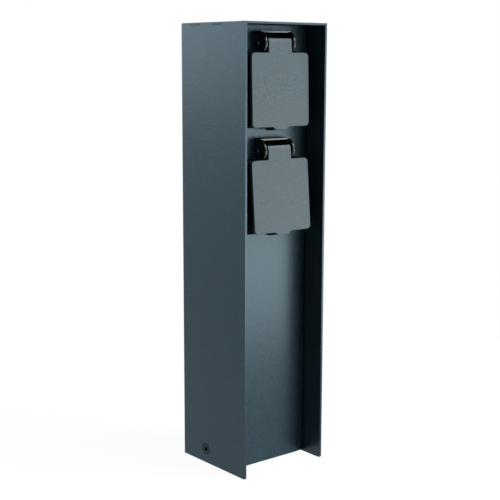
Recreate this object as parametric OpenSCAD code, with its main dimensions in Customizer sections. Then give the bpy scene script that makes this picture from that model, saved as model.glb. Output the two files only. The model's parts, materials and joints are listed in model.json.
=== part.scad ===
// Outdoor socket pillar: a folded steel column that holds two sockets under sprung lids.
// The origin lies on the ground in the middle of the column. X runs to the right,
// the open front faces -Y and Z runs up. All sizes are in millimetres.

/* [Column] */
// Width over the side walls
body_w = 92.5; // [86:0.5:110]
// Depth from the front edges to the back
body_d = 92.5; // [86:0.5:110]
// Height of the column
body_h = 400; // [380:5:600]
// Thickness of the folded steel sheet
sheet_t = 2; // [1.5:0.1:2.5]
// Outer radius of the folds at the back corners
fold_r = 3; // [2.8:0.1:5]
// Outer radius of the fold between the roof and its rear lip
roof_fold_r = 4.5; // [3.5:0.1:8]
// Length of the roof's rear lip, measured down from the top
roof_lip = 14; // [10:0.5:25]
// Radius on the lower front corners of the side walls
wall_corner_r = 1.5; // [0.5:0.1:4]
// Width of the tabs that key the roof into the side walls
tab_w = 14; // [8:0.5:20]
// Place of the front pair of roof tabs along Y
front_tab_y = -7.5; // [-20:0.5:0]
// Place of the rear pair of roof tabs along Y
rear_tab_y = 24; // [15:0.5:28]

/* [Front panel] */
// How far the panel lies behind the front edges of the side walls
recess_d = 23.5; // [18:0.5:28]
// Thickness of the panel sheet
panel_t = 1.5; // [1.2:0.1:2]
// Outer radius of the panel's folds
panel_fold_r = 2.2; // [2.1:0.1:3]
// Length of the side flanges, measured back from the panel's face
panel_flange = 16; // [10:0.5:18]
// Height of the panel's lower edge above the ground
foot_gap = 1.5; // [1:0.1:4]

/* [Sockets] */
// Distance from the top of the column down to the upper socket's centre
upper_drop = 57.5; // [55:0.5:65]
// Distance between the two socket centres
pitch = 92.7; // [89:0.1:100]
// Width of the frame
frame_w = 67; // [66:0.5:72]
// Height of the frame
frame_h = 65; // [65:0.5:70]
// Corner radius of the frame
frame_r = 3; // [1:0.5:6]
// How far the frame's front face stands off the panel
frame_proud = 11; // [10.5:0.1:12]
// Wall thickness of the frame
frame_wall = 2.5; // [2.2:0.1:3]
// Thickness of the gasket behind the frame
gasket_t = 0.8; // [0.5:0.1:1.5]
// Distance between the flange screws, both ways
screw_pitch = 49; // [49:0.5:50]
// Radius of the plug well
well_r = 19.8; // [19.5:0.1:20.5]
// Depth of the plug well
well_d = 17.5; // [15:0.5:19]
// Wall thickness of the socket cup
cup_wall = 3; // [2.4:0.1:3.2]
// Thickness of the well's floor
floor_t = 3; // [2.5:0.1:4]
// Thickness of the cup's mounting flange
cup_flange_t = 3; // [2:0.1:3.5]
// Distance between the two plug pins
pin_pitch = 19; // [18:0.1:20]
// Bore radius of the contact sleeves
contact_bore_r = 2.45; // [2.42:0.01:2.6]
// Wall thickness of the contact sleeves
contact_wall = 0.95; // [0.7:0.05:1.2]
// Edge length of the square wire terminals
cage_w = 8; // [7:0.5:9]

/* [Hinge] */
// How far the hinge pin lies in front of the panel
pivot_out = 5.65; // [5.4:0.05:6.2]
// Height of the hinge pin above the socket's centre
pivot_up = 39.8; // [39.5:0.1:41]
// Radius of the hinge pin
pin_r = 1.5; // [1.2:0.1:1.7]
// Outer width of the hinge hood
hood_w = 34.6; // [34:0.1:37]
// Thickness of the hood's ears
ear_t = 2.5; // [2:0.1:2.8]
// Radius of the rounded ears
ear_r = 10.6; // [10:0.1:10.7]
// Thickness of the bridge over the hinge
bridge_t = 1.5; // [1.2:0.1:2.5]
// How far the bridge reaches in front of the hinge pin
bridge_reach = 3.1; // [1:0.1:6]
// Thickness of the hood's wall against the panel
hood_back_t = 1.2; // [1:0.1:1.3]
// Radius on the hood's upper outer corners
hood_r = 2; // [1.6:0.1:4]

/* [Lids] */
// Width of a lid
lid_w = 64.7; // [62:0.1:66]
// Height of a lid without its neck and tab
lid_h = 63.7; // [62:0.1:65]
// Thickness of a lid
lid_t = 2.8; // [2.4:0.1:2.9]
// Corner radius of a lid
lid_r = 3.8; // [2:0.1:6]
// Distance from the hinge pin to the lid's front face
lid_out = 8.9; // [8.7:0.1:9.2]
// Distance from the hinge pin down to the lid's shoulders
lid_drop = 8.3; // [8.1:0.1:9]
// Width of the neck between lid and hinge
neck_w = 26; // [24:0.5:27]
// Height of the neck above the hinge pin
neck_top = 4; // [2:0.1:4.1]
// Width of the finger tab where it joins the lid
tab_top_w = 18; // [14:0.5:24]
// Width of the finger tab at its lower edge
tab_low_w = 11.6; // [8:0.1:13]
// Height of the finger tab
tab_h = 2.5; // [1.5:0.1:4]
// Angle of the upper lid at rest
upper_rest_angle = 1.5; // [1.5:0.1:5]
// Angle of the lower lid at rest, which stands slightly ajar
lower_rest_angle = 4.5; // [1.5:0.1:6]
// Outer radius of the seal on a lid
seal_r = 25; // [24.5:0.1:26]
// Width of the seal ring
seal_w = 2.5; // [1.5:0.1:3]

/* [Lid springs] */
// Mean radius of a spring's coil
spring_r = 3.4; // [3.2:0.1:3.6]
// Diameter of the spring wire
spring_wire = 0.8; // [0.6:0.05:0.9]
// Number of turns in a spring
spring_turns = 6; // [4:1:7]
// Length of a spring along the hinge pin
spring_l = 9; // [8.5:0.1:10]

/* [Base] */
// Thickness of the base plate
base_t = 2.5; // [2:0.1:3]
// Width of the base plate between the panel's flanges
base_w = 82; // [76:0.5:84]
// Depth of the base plate
base_d = 62; // [58:0.5:66]
// Place of the side screws and of the base plate's middle along Y
side_screw_y = 10.8; // [9:0.1:13]
// Height of the side screws above the ground
side_screw_z = 12.9; // [11:0.1:18]
// Width of the upturned lugs
lug_w = 26; // [20:0.5:30]
// Height of the upturned lugs
lug_h = 26; // [22:0.5:34]
// Distance between the ground anchors along X
anchor_x = 60; // [50:1:64]
// Distance between the ground anchors along Y
anchor_y = 46; // [40:1:50]
// Radius of the anchor holes
anchor_r = 3.25; // [2.5:0.05:4]
// Radius of the cable hole in the base plate
cable_hole_r = 14; // [10:0.5:16]
// Bore radius of the cable grommet
grommet_bore_r = 5.5; // [4:0.1:7]

/* [Wiring] */
// Width of the bracket that carries the terminal block
bracket_w = 52; // [48:1:60]
// How far the bracket stands off the back of the panel
bracket_d = 12; // [10:0.5:16]
// Height of the bracket's lower edge above the ground
bracket_z = 62; // [40:1:70]
// Height of the bracket
bracket_h = 92; // [88:1:100]
// Thickness of the bracket sheet
bracket_t = 1.5; // [1:0.1:2]
// Distance between the poles of the terminal block
pole_pitch = 11; // [10:0.5:12]
// Edge length of the brass inserts in the terminal block
insert_w = 7.8; // [7.4:0.1:8]
// Height of the terminal block
block_h = 24; // [20:0.5:28]
// Depth of the terminal block
block_d = 16; // [14:0.5:18]
// Radius of the cable that the cord clamp can hold
cord_r = 4.6; // [3.5:0.1:5.5]
// Height of the cord clamp
clamp_h = 12; // [8:0.5:14]
// Radius of the insulated wires
wire_r = 1.4; // [1:0.05:1.5]

/* [Hidden] */
$fn = 64;

// Colours of the finishes
anthracite = "#45525a";
gloss_black = "#101214";
matt_black = "#1c1e20";
rubber_black = "#26282a";
zinc = "#b9bdc0";
brass = "#c9a24b";
white_plastic = "#e6e4dc";
brown = "#6b3f22";
blue = "#2f5fa8";
green = "#4f9a3c";

// Clearances: sheet against sheet, a part in its pocket, a screw in its thread,
// the pin in the ears and the lid on the pin
sheet_gap = 0.05;
fit_gap = 0.2;
thread_gap = 0.04;
ear_gap = 0.02;
run_gap = 0.06;
// A cutter runs this far past the face that it opens, and shapes that join run into each other
past = 1;
join = 1;
// A screw's thread comes out this far behind its nut or sheet
thread_out = 1.2;

// Column
wall_x = body_w / 2;
inner_x = wall_x - sheet_t;
front_y = -body_d / 2;
back_y = body_d / 2;
panel_y = front_y + recess_d;
panel_back_y = panel_y + panel_t;
fitted_x = inner_x - sheet_gap;
upper_z = body_h - upper_drop;
lower_z = upper_z - pitch;

// Fasteners: countersunk heads are cones of 90 degrees, so a head is as deep as its radius grows
m5_r = 2.5;
m5_head_r = 5.5;
m5_length = 12;
m5_nut = 8;
m5_nut_t = 4;
m4_r = 2;
m4_head_r = 4;
m4_nut = 7;
m4_nut_t = 3.2;
m3_r = 1.5;
m3_head_r = 2.7;
m3_head_h = 1.8;
slot_w = 0.8;
slot_d = 0.9;
side_key = 3.5;
side_key_d = 2.2;
cross_l = 4;
cross_d = 1.6;

// Sockets, in a frame with its origin at the well's centre on the panel's face
frame_front = -frame_proud;
frame_back = -gasket_t;
frame_rise = frame_h / 2;
pocket_w = frame_w - 2 * frame_wall;
pocket_h = frame_h - 2 * frame_wall;
pocket_front = frame_front + frame_wall;
cup_r = well_r + cup_wall;
cup_lip = 0.3;
flange_gap = 1;
cup_front = frame_front + cup_lip;
cup_flange_front = frame_back - cup_flange_t;
floor_front = cup_front + well_d;
floor_back = floor_front + floor_t;
chamber_d = 4.2;
cup_back = floor_back + chamber_d;
cover_t = 3;
cover_back = cup_back + cover_t;
boss_r = 4.5;
screw_at = screw_pitch / 2;
panel_hole_gap = 0.7;
panel_hole_r = cup_r + panel_hole_gap;
screw_hole_r = m4_r + fit_gap;
flange_screw_back = panel_t + m4_nut_t + thread_out;
gasket_inset = 1;
catch_t = 6;
catch_h = 2.6;
catch_flare = 2;
catch_half = tab_top_w / 2 + 1;

// Contacts
contact_x = pin_pitch / 2;
contact_gap = 0.5;
contact_front = floor_back + contact_gap;
sleeve_r = contact_bore_r + contact_wall;
sleeve_l = 15.7;
sleeve_back = contact_front + sleeve_l;
collar_w = 1.2;
collar_r = sleeve_r + collar_w;
collar_t = 2;
cage_back = sleeve_back + cage_w;
aperture_gap = 0.45;
aperture_r = contact_bore_r + aperture_gap;
wire_gap = 0.15;
wire_hole_r = wire_r + wire_gap;
wire_hole_d = 6;
clip_t = 0.8;
clip_w = 6;
clip_inset = 1.5;
clip_z = well_r - clip_inset;
clip_bow = 1.6;
clip_start = 4;
clip_front = cup_front + clip_start;
earth_z = -13;
rib_w = 4.6;
rib_h = 2.3;
rib_start = 2;
rib_front = cup_front + rib_start;

// Hinge and lid, in a frame with its origin on the hinge pin
lid_back = lid_out - lid_t;
bridge_gap = 0.3;
bridge_low = lid_out + bridge_gap;
hood_top = bridge_low + bridge_t;
bridge_edge_r = 0.3;
ear_foot = 7;
ear_set = 0.7;
ear_in = hood_w / 2 - ear_t;
knuckle_r = 3.6;
spring_room = 2.5;
spring_pocket_r = spring_r + spring_wire / 2 + spring_room;
spring_end_gap = 0.9;
spring_pocket_w = spring_l + spring_wire + 2 * spring_end_gap;
neck_front_z = -5;
neck_web = 1;
seal_groove = 0.9;

// Lug and base
lug_fold_r = 4;
side_nut_x = fitted_x - base_t;
grommet_lip = 3;
grommet_flange_r = cable_hole_r + grommet_lip;
grommet_t = 2.4;
grommet_top = base_t + grommet_t;
base_corner_r = 4;

// Terminal block, cord clamp and their bracket
web_y = panel_back_y + bracket_d;
block_down = 8;
block_z = bracket_z + bracket_h - block_h - block_down;
block_end_w = 7;
block_w = 3 * pole_pitch + 2 * block_end_w;
block_mid_y = web_y + block_d / 2;
block_top = block_z + block_h;
insert_inset = 3;
insert_h = block_h - 2 * insert_inset;
insert_hole_x = 1.9;
insert_screw_in = 3.6;
fixing_in = 3.6;
fixing_x = block_w / 2 - fixing_in;
clamp_up = 16;
clamp_z = bracket_z + clamp_up;
clamp_wall = 2.5;
clamp_screw_x = cord_r + clamp_wall + m3_head_r + fit_gap;
clamp_ear = 1;
clamp_w = 2 * (clamp_screw_x + m3_head_r + clamp_ear);
clamp_foot = 4;
earth_screw_x = 17;
lug_ring_r = 4.4;
lug_ring_t = 0.8;
lug_barrel_l = 5;
lug_barrel_z = lug_ring_r + join;
lug_l = lug_ring_r + lug_barrel_z + lug_barrel_l;
earth_screw_z = (clamp_z + clamp_h + block_z - lug_l) / 2 + lug_ring_r;

// Wires: sides of a wire, steps in each bend, how far a wire goes into its terminal and
// runs on straight behind it, and the length of the bends
wire_sides = 8;
bend_steps = 3;
wire_in = 5;
wire_out = 4;
bend = (lower_z + earth_z - block_top) / 4;
lower_run_y = 22;
upper_run_y = 34;

// Springs: rings in a turn and sides of the wire
curl_rings = 8;
curl_sides = 6;
leg_steps = 2;

// Shapes that repeat
module box(x, y, z) {
    translate([x[0], y[0], z[0]])
        cube([x[1] - x[0], y[1] - y[0], z[1] - z[0]]);
}

module along_x(x0, x1) {
    translate([x0, 0, 0])
        rotate([90, 0, 90])
            linear_extrude(x1 - x0)
                children();
}

module along_y(y0, y1) {
    translate([0, y1, 0])
        rotate([90, 0, 0])
            linear_extrude(y1 - y0)
                children();
}

module rod_x(r, x0, x1) {
    translate([x0, 0, 0])
        rotate([0, 90, 0])
            cylinder(r = r, h = x1 - x0);
}

module rod_y(r, y0, y1) {
    translate([0, y0, 0])
        rotate([-90, 0, 0])
            cylinder(r = r, h = y1 - y0);
}

// A cone along +Y whose radius goes from r0 at y0 to r1 at y1
module cone_y(r0, r1, y0, y1) {
    translate([0, y0, 0])
        rotate([-90, 0, 0])
            cylinder(r1 = r0, r2 = r1, h = y1 - y0);
}

module rounded_rect(w, h, r) {
    square([w - 2 * r, h], center = true);
    square([w, h - 2 * r], center = true);
    for (x = [-1, 1], z = [-1, 1])
        translate([x * (w / 2 - r), z * (h / 2 - r)])
            circle(r);
}

// A folded channel seen from above: its web lies at y = 0 and its flanges run to +Y
module channel(w, d, t, r) {
    difference() {
        union() {
            translate([-w / 2, r])
                square([w, d - r]);
            translate([-w / 2 + r, 0])
                square([w - 2 * r, d]);
            for (x = [-1, 1])
                translate([x * (w / 2 - r), r])
                    circle(r);
        }
        translate([-w / 2 + t, r])
            square([w - 2 * t, d]);
        translate([-w / 2 + r, t])
            square([w - 2 * r, d]);
        for (x = [-1, 1])
            translate([x * (w / 2 - r), r])
                circle(r - t);
    }
}

// Cuts a corner round: the quarter outside a circle, on the side given by the signs
module corner_cut(r, sy, sz) {
    difference() {
        translate([sy > 0 ? 0 : -2 * r, sz > 0 ? 0 : -2 * r])
            square(2 * r);
        circle(r);
    }
}

module hex_prism(flats, h) {
    cylinder(d = flats / cos(30), h = h, $fn = 6);
}

// A slotted screw along -Z: the underside of its head lies at z = 0
module slotted_screw(r, length, head_r, head_h) {
    difference() {
        union() {
            cylinder(r = head_r, h = head_h);
            translate([0, 0, -length])
                cylinder(r = r, h = length + head_h / 2);
        }
        box([-head_r - past, head_r + past], [-slot_w / 2, slot_w / 2], [head_h - slot_d, head_h + past]);
    }
}

module at_socket(z) {
    translate([0, panel_y, z])
        children();
}

module at_pivot(z) {
    translate([0, panel_y - pivot_out, z + pivot_up])
        children();
}

module at_lid(z, rest) {
    at_pivot(z)
        rotate([-rest, 0, 0])
            children();
}

module at_flange_screws() {
    for (x = [-screw_at, screw_at], z = [-screw_at, screw_at])
        translate([x, 0, z])
            children();
}

module at_side_screws() {
    for (side = [0, 180])
        translate([0, side_screw_y, side_screw_z])
            rotate([0, 0, side])
                children();
}

module at_poles() {
    for (i = [-1, 0, 1])
        translate([i * pole_pitch, block_mid_y, 0])
            children();
}

// A tube through a list of points that never run along X
function unit(v) = v / norm(v);
function tangent(p, i) = unit(p[min(i + 1, len(p) - 1)] - p[max(i - 1, 0)]);
function ring(c, t, r, n) = [
    for (k = [0 : n - 1])
        c + r * (cos(360 * k / n) * [1, 0, 0] + sin(360 * k / n) * unit(cross(t, [1, 0, 0])))
];

module tube(p, r, n) {
    last = len(p) - 1;
    rings = [for (i = [0 : last]) each ring(p[i], tangent(p, i), r, n)];
    sides = [
        for (i = [0 : last - 1], k = [0 : n - 1])
            each [
                [i * n + k, (i + 1) * n + k, i * n + (k + 1) % n],
                [(i + 1) * n + k, (i + 1) * n + (k + 1) % n, i * n + (k + 1) % n]
            ]
    ];
    ends = [
        for (k = [1 : n - 2])
            each [[0, k, k + 1], [last * n, last * n + k + 1, last * n + k]]
    ];
    polyhedron(points = rings, faces = concat(sides, ends));
}

function bezier(a, b, c, d, t) =
    pow(1 - t, 3) * a + 3 * pow(1 - t, 2) * t * b + 3 * (1 - t) * t * t * c + t * t * t * d;
function bend_points(a, b, c, d) = [for (i = [0 : bend_steps]) bezier(a, b, c, d, i / bend_steps)];

// The route of a wire: up out of the block, up the back of the column and forward into a terminal
function wire_route(a, b, run_y) =
    let (
        up = [0, 0, bend],
        a1 = [a.x, a.y, block_top + wire_out],
        low = [a.x, run_y, a1.z + 3 * bend / 2],
        high = [b.x, run_y, b.z - 3 * bend / 2],
        b1 = b + [0, wire_in + wire_out, 0]
    )
    concat(
        [a],
        bend_points(a1, a1 + up, low - up, low),
        bend_points(high, high + up, [b.x, run_y, b.z], b1),
        [b]
    );

function pole_start(pole, side) =
    [pole * pole_pitch + side * insert_hole_x, block_mid_y, block_top - insert_inset - wire_in];
function cage_end(x, dz, z) = [x, panel_y + cage_back - wire_in, z + dz];

module pole_wires(pole, x, dz) {
    outer = pole == 0 ? -1 : pole;
    tube(wire_route(pole_start(pole, outer), cage_end(x, dz, lower_z), lower_run_y), wire_r, wire_sides);
    tube(wire_route(pole_start(pole, -outer), cage_end(x, dz, upper_z), upper_run_y), wire_r, wire_sides);
}

// Column

// Side walls and back in one folded sheet, slotted at the top for the roof's tabs
module housing_shell() {
    color(anthracite)
        difference() {
            translate([0, back_y, 0])
                rotate([0, 0, 180])
                    linear_extrude(body_h)
                        channel(body_w, body_d, sheet_t, fold_r);
            box([-inner_x, inner_x], [back_y - fold_r, back_y + past], [body_h - roof_lip, body_h + past]);
            along_x(-wall_x - past, wall_x + past)
                translate([back_y - roof_fold_r, body_h - roof_fold_r])
                    corner_cut(roof_fold_r, 1, 1);
            along_x(-wall_x - past, wall_x + past)
                translate([front_y + wall_corner_r, wall_corner_r])
                    corner_cut(wall_corner_r, -1, -1);
            for (y = [front_tab_y, rear_tab_y])
                box(
                    [-wall_x - past, wall_x + past],
                    [y - tab_w / 2 - fit_gap, y + tab_w / 2 + fit_gap],
                    [body_h - sheet_t - fit_gap, body_h + past]
                );
            at_side_screws()
                rotate([0, 0, -90]) {
                    cone_y(
                        m5_r + fit_gap, m5_head_r + past + fit_gap,
                        wall_x - (m5_head_r - m5_r), wall_x + past
                    );
                    rod_y(m5_r + fit_gap, wall_x - sheet_t - past, wall_x);
                }
        }
}

// Roof with its rear lip, keyed into the side walls
module roof_plate() {
    color(anthracite) {
        along_x(-fitted_x, fitted_x)
            translate([back_y, body_h])
                rotate(180)
                    difference() {
                        union() {
                            translate([roof_fold_r, 0])
                                square([body_d - roof_fold_r, sheet_t]);
                            translate([0, roof_fold_r])
                                square([sheet_t, roof_lip - roof_fold_r - sheet_gap]);
                            intersection() {
                                translate([roof_fold_r, roof_fold_r])
                                    circle(roof_fold_r);
                                square(roof_fold_r);
                            }
                        }
                        translate([roof_fold_r, roof_fold_r])
                            circle(roof_fold_r - sheet_t);
                    }
        for (y = [front_tab_y, rear_tab_y], x = [-1, 1])
            translate([x * (wall_x + inner_x - join) / 2, y, body_h - sheet_t / 2])
                cube([sheet_t + join, tab_w, sheet_t], center = true);
    }
}

// Recessed panel with folded side flanges, cut for the two sockets
module front_panel() {
    color(anthracite)
        difference() {
            translate([0, panel_y, foot_gap])
                linear_extrude(body_h - sheet_t - foot_gap - sheet_gap)
                    channel(2 * fitted_x, panel_flange, panel_t, panel_fold_r);
            for (z = [upper_z, lower_z])
                at_socket(z) {
                    rod_y(panel_hole_r, -past, panel_t + past);
                    at_flange_screws()
                        rod_y(screw_hole_r, -past, panel_t + past);
                }
        }
}

// Ground plate with two upturned lugs, which take the side screws
module base_plate() {
    color(zinc)
        difference() {
            union() {
                translate([0, side_screw_y, 0])
                    linear_extrude(base_t)
                        rounded_rect(base_w, base_d, base_corner_r);
                translate([0, side_screw_y + lug_w / 2, 0])
                    rotate([90, 0, 0])
                        linear_extrude(lug_w)
                            channel(2 * fitted_x, lug_h, base_t, lug_fold_r);
            }
            for (x = [-1, 1], y = [-1, 1])
                translate([x * anchor_x / 2, side_screw_y + y * anchor_y / 2, -past])
                    cylinder(r = anchor_r, h = base_t + 2 * past);
            translate([0, side_screw_y, -past])
                cylinder(r = cable_hole_r, h = base_t + 2 * past);
            at_side_screws()
                rotate([0, 0, -90]) {
                    cone_y(
                        m5_r + fit_gap, m5_head_r + past + fit_gap,
                        wall_x - (m5_head_r - m5_r), wall_x + past
                    );
                    rod_y(m5_r + fit_gap, side_nut_x - past, wall_x);
                }
        }
}

// Square nuts behind the lugs
module base_nuts() {
    color(zinc)
        at_side_screws()
            difference() {
                translate([side_nut_x - m5_nut_t, -m5_nut / 2, -m5_nut / 2])
                    cube([m5_nut_t, m5_nut, m5_nut]);
                rod_x(m5_r + thread_gap, side_nut_x - m5_nut_t - past, side_nut_x + past);
            }
}

// Black countersunk screws, one low on each side wall
module side_screws() {
    color(gloss_black)
        at_side_screws()
            rotate([0, 0, -90])
                difference() {
                    union() {
                        cone_y(m5_r, m5_head_r, wall_x - (m5_head_r - m5_r), wall_x);
                        rod_y(m5_r, wall_x - m5_length, wall_x - sheet_t / 2);
                    }
                    translate([0, wall_x - side_key_d, 0])
                        rotate([-90, 0, 0])
                            hex_prism(side_key, side_key_d + past);
                }
}

// Rubber ring that lines the cable hole
module cable_grommet() {
    color(rubber_black)
        translate([0, side_screw_y, 0])
            difference() {
                union() {
                    translate([0, 0, sheet_gap])
                        cylinder(r = cable_hole_r - sheet_gap, h = base_t);
                    translate([0, 0, base_t])
                        cylinder(r = grommet_flange_r, h = grommet_top - base_t);
                }
                translate([0, 0, -past])
                    cylinder(r = grommet_bore_r, h = grommet_top + 2 * past);
            }
}

// Wiring

// Channel behind the panel that carries the terminal block and the cord clamp
module terminal_bracket() {
    color(zinc)
        difference() {
            translate([0, web_y, bracket_z])
                rotate([0, 0, 180])
                    linear_extrude(bracket_h)
                        channel(bracket_w, bracket_d, bracket_t, 2 * bracket_t);
            for (x = [-fixing_x, fixing_x])
                translate([x, web_y, block_z + block_h / 2])
                    rod_y(m3_r + thread_gap, -bracket_t - past, past);
            for (x = [-clamp_screw_x, clamp_screw_x])
                translate([x, web_y, clamp_z + clamp_h / 2])
                    rod_y(m3_r + thread_gap, -bracket_t - past, past);
            translate([earth_screw_x, web_y, earth_screw_z])
                rod_y(m4_r + thread_gap, -bracket_t - past, past);
        }
}

module terminal_block() {
    color(white_plastic)
        difference() {
            box([-block_w / 2, block_w / 2], [web_y, web_y + block_d], [block_z, block_top]);
            at_poles()
                translate([0, 0, block_z - past])
                    linear_extrude(block_h + 2 * past)
                        square(insert_w + 2 * sheet_gap, center = true);
            at_poles()
                for (z = [-1, 1])
                    translate([0, 0, block_z + block_h / 2 + z * (insert_h / 2 - insert_screw_in)])
                        rod_y(m3_head_r + fit_gap, insert_w / 2 - past, block_d / 2 + past);
            for (x = [-fixing_x, fixing_x])
                translate([x, web_y, block_z + block_h / 2])
                    rod_y(m3_r + fit_gap, -past, block_d + past);
        }
}

// Brass inserts: two wire holes at the top and two at the bottom of each pole
module block_inserts() {
    color(brass)
        at_poles()
            translate([0, 0, block_z + block_h / 2])
                difference() {
                    cube([insert_w, insert_w, insert_h], center = true);
                    for (x = [-1, 1], z = [-1, 1])
                        translate([x * insert_hole_x, 0, z * insert_h / 2])
                            cylinder(r = wire_hole_r, h = 2 * wire_hole_d, center = true);
                    for (z = [-1, 1])
                        translate([0, 0, z * (insert_h / 2 - insert_screw_in)])
                            rod_y(m3_r + thread_gap, 0, insert_w);
                }
}

module block_clamp_screws() {
    color(zinc)
        at_poles()
            for (z = [-1, 1])
                translate([0, insert_w / 2 + fit_gap, block_z + block_h / 2 + z * (insert_h / 2 - insert_screw_in)])
                    rotate([-90, 0, 0])
                        slotted_screw(m3_r, insert_w / 2 - wire_r, m3_head_r, m3_head_h);
}

module block_fixing_screws() {
    color(zinc)
        for (x = [-fixing_x, fixing_x])
            translate([x, web_y + block_d, block_z + block_h / 2])
                rotate([-90, 0, 0])
                    slotted_screw(m3_r, block_d + bracket_t + thread_out, m3_head_r, m3_head_h);
}

// Saddle that grips the supply cable
module cord_clamp() {
    color(matt_black)
        difference() {
            union() {
                box([-clamp_w / 2, clamp_w / 2], [web_y, web_y + clamp_foot], [clamp_z, clamp_z + clamp_h]);
                box(
                    [-cord_r - clamp_wall, cord_r + clamp_wall],
                    [web_y, web_y + 2 * cord_r + clamp_wall],
                    [clamp_z, clamp_z + clamp_h]
                );
            }
            translate([0, web_y + cord_r, clamp_z - past])
                cylinder(r = cord_r, h = clamp_h + 2 * past);
            box([-cord_r, cord_r], [web_y - past, web_y + cord_r], [clamp_z - past, clamp_z + clamp_h + past]);
            for (x = [-clamp_screw_x, clamp_screw_x])
                translate([x, web_y, clamp_z + clamp_h / 2])
                    rod_y(m3_r + fit_gap, -past, clamp_foot + past);
        }
}

module clamp_screws() {
    color(zinc)
        for (x = [-clamp_screw_x, clamp_screw_x])
            translate([x, web_y + clamp_foot, clamp_z + clamp_h / 2])
                rotate([-90, 0, 0])
                    slotted_screw(m3_r, clamp_foot + bracket_t + thread_out, m3_head_r, m3_head_h);
}

module earth_screw() {
    color(zinc)
        translate([earth_screw_x, web_y + lug_ring_t, earth_screw_z])
            rotate([-90, 0, 0])
                slotted_screw(m4_r, lug_ring_t + bracket_t + thread_out, m4_head_r, m3_head_h);
}

// Ring lug that earths the column, with the barrel for its wire
module earth_lug() {
    color(zinc)
        translate([earth_screw_x, web_y, earth_screw_z])
            difference() {
                union() {
                    rod_y(lug_ring_r, 0, lug_ring_t);
                    box([-wire_r, wire_r], [0, lug_ring_t], [0, lug_barrel_z + join]);
                    translate([0, wire_r + lug_ring_t, lug_barrel_z])
                        cylinder(r = wire_r + lug_ring_t, h = lug_barrel_l);
                }
                rod_y(m4_r + fit_gap, -past, lug_ring_t + past);
                translate([0, wire_r + lug_ring_t, lug_barrel_z + join])
                    cylinder(r = wire_hole_r, h = lug_barrel_l);
            }
}

module live_wires() {
    color(brown)
        pole_wires(-1, -contact_x, 0);
}

module neutral_wires() {
    color(blue)
        pole_wires(1, contact_x, 0);
}

// The third earth wire joins the block to the ring lug
module earth_wires() {
    out = [0, 0, wire_out];
    lug_end = [earth_screw_x, web_y + wire_r + lug_ring_t, earth_screw_z + lug_barrel_z + join];
    lug_top = lug_end + [0, 0, lug_barrel_l];
    block_end = [insert_hole_x, block_mid_y, block_z + insert_inset + wire_in];
    block_low = [insert_hole_x, block_mid_y, block_z - wire_out];
    color(green) {
        pole_wires(0, 0, earth_z);
        tube(
            concat(
                [lug_end],
                bend_points(lug_top, lug_top + out, block_low - 2 * out, block_low),
                [block_end]
            ),
            wire_r, wire_sides
        );
    }
}

// Socket parts, each in the socket's own frame

module hood_outline() {
    top = pivot_up + hood_top;
    foot = frame_rise - join;
    difference() {
        union() {
            translate([-hood_w / 2, foot])
                square([hood_w, top - foot - hood_r]);
            translate([-hood_w / 2 + hood_r, foot])
                square([hood_w - 2 * hood_r, top - foot]);
            for (x = [-1, 1])
                translate([x * (hood_w / 2 - hood_r), top - hood_r])
                    circle(hood_r);
        }
        translate([-ear_in, foot - past])
            square([2 * ear_in, pivot_up + bridge_low - foot + past]);
    }
}

// Side view of the hood without its ears
module hood_side() {
    top = pivot_up + hood_top;
    low = pivot_up + bridge_low;
    reach = -pivot_out - bridge_reach;
    translate([-pivot_out, frame_rise])
        square([pivot_out, top - frame_rise]);
    translate([reach, pivot_up])
        square([bridge_reach + join, hood_top - bridge_edge_r]);
    translate([reach + bridge_edge_r, low])
        square([bridge_reach, bridge_t]);
    translate([reach + bridge_edge_r, top - bridge_edge_r])
        circle(bridge_edge_r);
    translate([frame_front, frame_rise - join])
        square([frame_back - frame_front, 2 * join]);
}

// Side view of a rounded ear, which stands in front of the bridge
module ear_side() {
    intersection() {
        translate([ear_set - pivot_out, pivot_up])
            circle(ear_r);
        translate([-pivot_out - ear_r, max(pivot_up - ear_foot, frame_rise - join)])
            square([ear_r + join, 2 * ear_r]);
    }
}

// Frame with its hinge hood and the catch under the lid's tab
module socket_frame() {
    color(gloss_black)
        difference() {
            union() {
                along_y(frame_front, frame_back)
                    rounded_rect(frame_w, frame_h, frame_r);
                intersection() {
                    along_y(-pivot_out - ear_r - past, 0)
                        hood_outline();
                    union() {
                        along_x(-hood_w / 2 - past, hood_w / 2 + past)
                            hood_side();
                        along_x(fit_gap - ear_in - hood_w, fit_gap - ear_in)
                            ear_side();
                        along_x(ear_in - fit_gap, ear_in - fit_gap + hood_w)
                            ear_side();
                    }
                }
                box([-ear_in - join, ear_in + join], [-hood_back_t, 0], [frame_rise, pivot_up + bridge_low + join]);
                along_y(frame_front, frame_front + catch_t)
                    polygon([
                        [-catch_half, join - frame_rise], [catch_half, join - frame_rise],
                        [catch_half, -frame_rise], [catch_half - catch_flare, -frame_rise - catch_h],
                        [catch_flare - catch_half, -frame_rise - catch_h], [-catch_half, -frame_rise]
                    ]);
            }
            difference() {
                along_y(pocket_front, past)
                    square([pocket_w, pocket_h], center = true);
                at_flange_screws()
                    rod_y(boss_r, pocket_front - past, cup_flange_front - sheet_gap);
            }
            rod_y(cup_r + fit_gap, frame_front - past, pocket_front + past);
            at_flange_screws() {
                cone_y(m4_head_r + past + fit_gap, m4_r + fit_gap, frame_front - past, frame_front + m4_head_r - m4_r);
                rod_y(screw_hole_r, frame_front, past);
            }
            translate([0, -pivot_out, pivot_up])
                rod_x(pin_r + ear_gap, -hood_w, hood_w);
        }
}

module socket_gasket() {
    color(rubber_black)
        along_y(-gasket_t, 0)
            difference() {
                rounded_rect(frame_w - gasket_inset, frame_h - gasket_inset, frame_r);
                circle(panel_hole_r);
                for (x = [-screw_at, screw_at], z = [-screw_at, screw_at])
                    translate([x, z])
                        circle(screw_hole_r);
            }
}

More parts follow.
